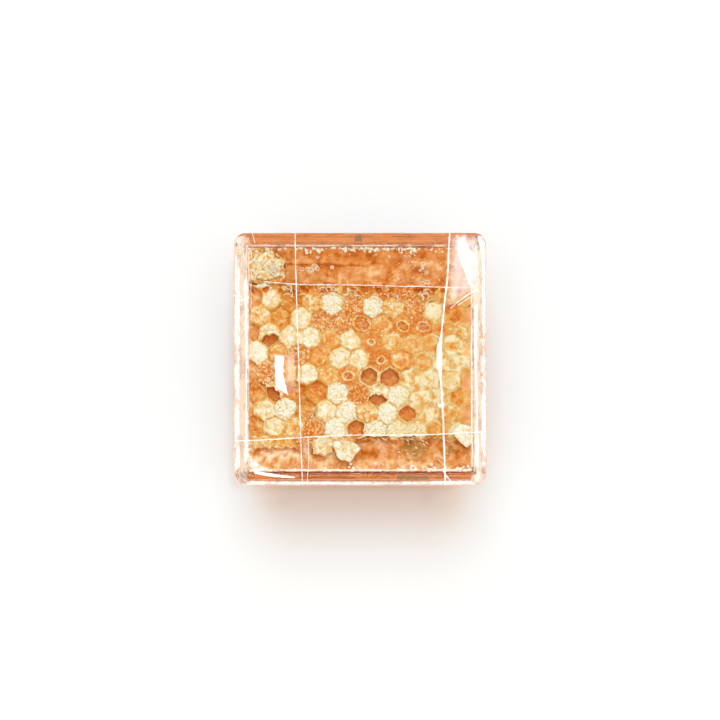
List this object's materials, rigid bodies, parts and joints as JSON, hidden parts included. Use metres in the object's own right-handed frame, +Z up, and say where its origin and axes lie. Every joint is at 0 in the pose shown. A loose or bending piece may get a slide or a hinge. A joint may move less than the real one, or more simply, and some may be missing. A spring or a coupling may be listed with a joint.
{
  "type": "honeycomb piece in a clear box",
  "caption": "Cut piece of honeycomb lying in amber honey with loose wax, in a square clear plastic box with a push-on lid, wrapped in clear film.",
  "frame": {"origin": "middle of the box's footprint, on the surface that the pack stands on", "axes": "+Z up, out of the lid; the box's sides face X and Y; the rows of cells run along X"},
  "size_m": [0.0672, 0.0672, 0.0266],
  "materials": {
    "box_plastic": "clear moulded polystyrene, glossy",
    "film": "thin clear wrapping film, glossy, with creases",
    "beeswax": "pale beeswax cappings, satin where honey wets them",
    "honey": "clear amber honey, glossy"
  },
  "bodies": {
    "root": {"box_base": "box_plastic", "box_lid": "box_plastic", "film_wrap": "film", "honeycomb": "beeswax", "honey": "honey", "wax_flake_front": "beeswax", "wax_flake_middle": "beeswax", "wax_flake_corner": "beeswax"}
  },
  "joints": []
}
